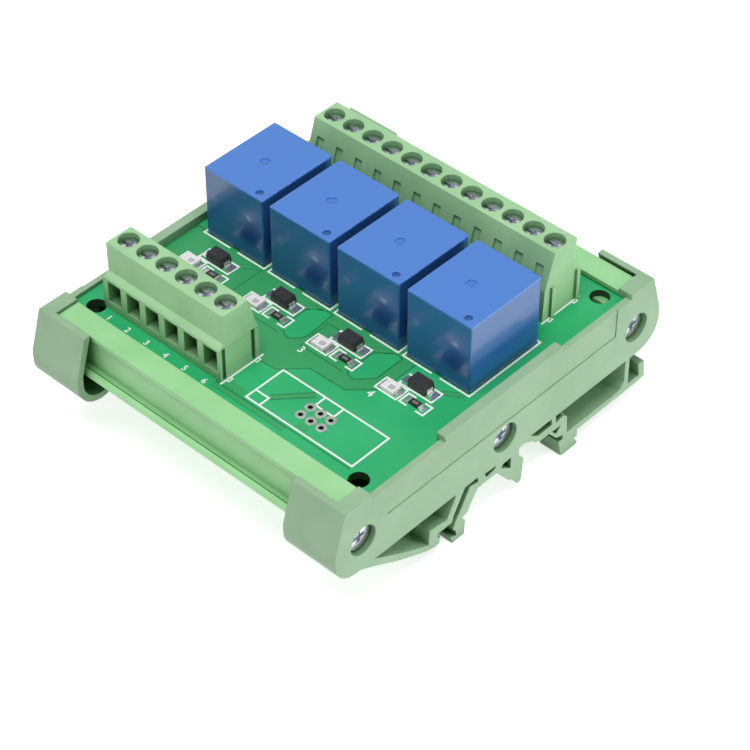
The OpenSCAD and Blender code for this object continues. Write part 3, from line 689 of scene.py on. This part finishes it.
EDGE = 0.06 * MM
RIB_LINE = 0.26 * MM
RIB_HALF = 0.65 * MM
RIB_REACH = 0.95 * MM
terminal_print = []
for end, y_low, y_high in ((front_end + EDGE, front_low.y, front_high.y),
                           (rear_end + EDGE, rear_low.y, rear_high.y)):
    y_span = y_low - LINE - EDGE, y_high + LINE + EDGE
    terminal_print.append(frame_line((end - 6 * MM, end + LINE), y_span, ink_z, LINE, INK,
                                     (0, end - 0.05 * MM, 1)))
    for y in (y_low + 1.6 * MM, y_high - 1.4 * MM):
        x_span = end - 1 * MM, end + RIB_REACH
        terminal_print.append(frame_line(x_span, (y - RIB_HALF, y + RIB_HALF), ink_z, RIB_LINE, INK,
                                         (0, end + LINE + 0.02 * MM, 1)))
join_as("terminal_print", terminal_print, white_ink)

# %% Figures
FIGURE_SHARE = 0.7
WAY_FIGURE = 1.35 * MM
CHANNEL_FIGURE = 1.7 * MM


def figure(text, x, y, height):
    """A figure lying on the board, its middle at x and its foot at y."""
    bpy.ops.object.select_all(action="DESELECT")
    bpy.ops.object.text_add(location=(0, 0, 0))
    letter = bpy.context.object
    letter.data.body = text
    letter.data.size = height / FIGURE_SHARE
    letter.data.align_x = "CENTER"
    letter.data.offset = 0.01 * height / FIGURE_SHARE
    letter.data.extrude = INK / 2
    letter.data.resolution_u = 3
    bpy.ops.object.convert(target="MESH")
    bpy.ops.object.mode_set(mode="EDIT")
    bpy.ops.mesh.select_all(action="SELECT")
    bpy.ops.transform.translate(value=(x, y, ink_z + INK / 2))
    bpy.ops.object.mode_set(mode="OBJECT")
    return bpy.context.object


ways = []
for k in range(FRONT_WAYS):
    way_x = front_end - (FRONT_WAYS - k - 0.5) * way_pitch
    ways.append(figure(str(k + 1), way_x, front_low.y - 2.45 * MM, WAY_FIGURE))
channels = [figure(str(k + 1), middle.x - 5.6 * MM, -16.5 * MM, CHANNEL_FIGURE)
            for k, middle in enumerate(relay_middles)]
join_as("figures", ways + channels, white_ink)

# %% [markdown]
# ## Bare metal on the board
# Where the lacquer is left open the copper is tinned. The header was never fitted, so its six plated
# rings are empty. The small parts sit on pads, and solder climbs from the pad to the lead in a wedge.

# %% Rings of the empty header
PAD = 0.05 * MM
header_x = 14.83 * MM
header_y = -28.25 * MM
HEADER_STEP = 2.54 * MM
HOLE_RADIUS = 0.5 * MM
RING_RADIUS = 1.12 * MM
first_ring = ring(header_x, header_y, board_top, HOLE_RADIUS, RING_RADIUS, PAD)
ring_steps = [(i * HEADER_STEP, j * HEADER_STEP, 0) for i in range(3) for j in range(2) if i + j]
upper_rings = copies(first_ring, ring_steps)
step_down = board_high.z - board_low.z + PAD
lower_rings = [copies(upper, [(0, 0, -step_down)])[1] for upper in upper_rings]
join_as("header_rings", upper_rings + lower_rings, ring_metal)

# %% Solder wedges of the small parts
def wedge(x_inner, x_outer, y_middle, width, height):
    """A pad with solder that rises from its outer end to its inner end."""
    x_span = sorted((x_inner, x_outer))
    sheet(x_span, (y_middle - width / 2, y_middle + width / 2), board_top)
    bpy.ops.mesh.extrude_region_move(TRANSFORM_OT_translate={"value": (0, 0, height)})
    bpy.ops.object.mode_set(mode="OBJECT")
    part = bpy.context.object
    middle = (x_inner + x_outer) / 2
    for vertex in part.data.vertices:
        outside = (vertex.co.x - middle) * (x_outer - x_inner) > 0
        vertex.select = outside and vertex.co.z > board_top + height / 2
    bpy.ops.object.mode_set(mode="EDIT")
    bpy.ops.transform.translate(value=(0, 0, PAD - height))
    bpy.ops.mesh.select_all(action="SELECT")
    bpy.ops.mesh.subdivide(number_cuts=2)
    bpy.ops.mesh.normals_make_consistent(inside=False)
    bpy.ops.object.mode_set(mode="OBJECT")
    return part


def node_ends(name):
    low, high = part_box(name)
    return low.x, high.x, (low.y + high.y) / 2


wedges = []
for name, past, reach, width, height in (("diode_1", 0.62, 1.3, 2.0, 0.45),
                                         ("indicator_1", 0.22, 0.7, 1.9, 0.4),
                                         ("resistor_1", 0.42, 0.7, 1.4, 0.35)):
    low_x, high_x, middle_y = node_ends(name)
    gap = past * MM
    length = reach * MM
    wedges.append(wedge(low_x - gap, low_x - gap - length, middle_y, width * MM, height * MM))
    wedges.append(wedge(high_x + gap, high_x + gap + length, middle_y, width * MM, height * MM))
all_wedges = [part for first in wedges for part in copies(first, relay_steps)]
join_as("small_part_solder", all_wedges, solder_metal)

# %% [markdown]
# ## Floor, light and camera
# The photograph is a product shot: white paper all round, a wide soft light from above and softer ones
# from the sides. The floor and the world show plain white to the camera and to mirror-like surfaces,
# and stay at a neutral level as lights. Seen from straight above, the screws mirror that white and lose
# their slots. The camera's place, angles and lens were fitted to corners of the object in the
# photograph.

# %% Floor and world
def white_to_the_eye(tree):
    """1 for rays from the camera, off gloss or through glass, else 0."""
    path = tree.nodes.new("ShaderNodeLightPath")
    camera, gloss, glass = [Wire(path.outputs[f"Is {kind} Ray"])
                            for kind in ("Camera", "Glossy", "Transmission")]
    return (camera + gloss + glass).maths("MINIMUM", 1.0)


paper = Finish("floor_paper")
paper_grain = paper.noise(3 * MM, 3)
paper_tone = paper.blend(paper_grain, srgb(238, 238, 238), srgb(246, 246, 246))
paper_glow = paper.blend(white_to_the_eye(paper.tree), (0, 0, 0, 1), (1, 1, 1, 1))
paper.surface(base_color=paper_tone, roughness=0.9, emission_color=paper_glow, emission_strength=0.7)
bpy.ops.object.select_all(action="DESELECT")
bpy.ops.mesh.primitive_plane_add(size=6, location=(0, 0, cad_box[0].z))
floor = bpy.context.object
floor.name = "floor"
floor.data.materials.append(paper.material)

AMBIENT = 0.22
world = bpy.data.worlds.new("studio")
world.use_nodes = True
bpy.context.scene.world = world
sky = world.node_tree.nodes["Background"]
sky_mix = world.node_tree.nodes.new("ShaderNodeMix")
sky_mix.data_type = "RGBA"
plug(sky_mix.inputs[0], white_to_the_eye(world.node_tree))
plug(sky_mix.inputs[6], (AMBIENT, AMBIENT, AMBIENT, 1))
plug(sky_mix.inputs[7], (1, 1, 1, 1))
plug(sky.inputs["Color"], Wire(sky_mix.outputs[2]))
print("floor at z =", round(floor.location.z, 4))

# %% Lamps
LAMP_TARGET = Vector((0, 0, 0.02))


def soft_lamp(name, power, size, place):
    """A round lamp that points at the object, power in W and lengths in m."""
    data = bpy.data.lights.new(name, "AREA")
    data.energy = power
    data.shape = "DISK"
    data.size = size
    lamp = bpy.data.objects.new(name, data)
    bpy.context.scene.collection.objects.link(lamp)
    lamp.location = place
    lamp.rotation_euler = (Vector(place) - LAMP_TARGET).to_track_quat("Z", "Y").to_euler()


soft_lamp("key_lamp", 7.2, 0.7, (0.1, -0.2, 0.97))
soft_lamp("right_lamp", 4.4, 0.4, (0.8, 0.5, 0.1))
soft_lamp("front_lamp", 0.45, 0.8, (-0.3, -0.9, 0.45))
print("three soft lamps, power in W:", [round(light.energy, 1) for light in bpy.data.lights])

# %% Camera
camera_azimuth = math.radians(43.42)
camera_elevation = math.radians(42.85)
camera_roll = math.radians(-0.33)
camera_place = Vector((248.7, -260.7, 342.1)) * MM
right = Vector((math.cos(camera_azimuth), math.sin(camera_azimuth), 0))
back = Vector((math.sin(camera_azimuth) * math.cos(camera_elevation),
               -math.cos(camera_azimuth) * math.cos(camera_elevation),
               math.sin(camera_elevation)))
turn = Matrix((right, back.cross(right), back)).transposed() @ Matrix.Rotation(camera_roll, 3, "Z")
camera_data = bpy.data.cameras.new("camera")
camera_data.sensor_width = 36
camera_data.lens = 122.2
camera_data.shift_x = 0.0244
camera_data.clip_start = 0.01
camera = bpy.data.objects.new("camera", camera_data)
camera.matrix_world = Matrix.Translation(camera_place) @ turn.to_4x4()
bpy.context.scene.collection.objects.link(camera)
bpy.context.scene.camera = camera
bpy.context.scene.view_settings.view_transform = "Standard"
print("camera", round(camera_place.length, 3), "m from the origin, lens", camera_data.lens, "mm")
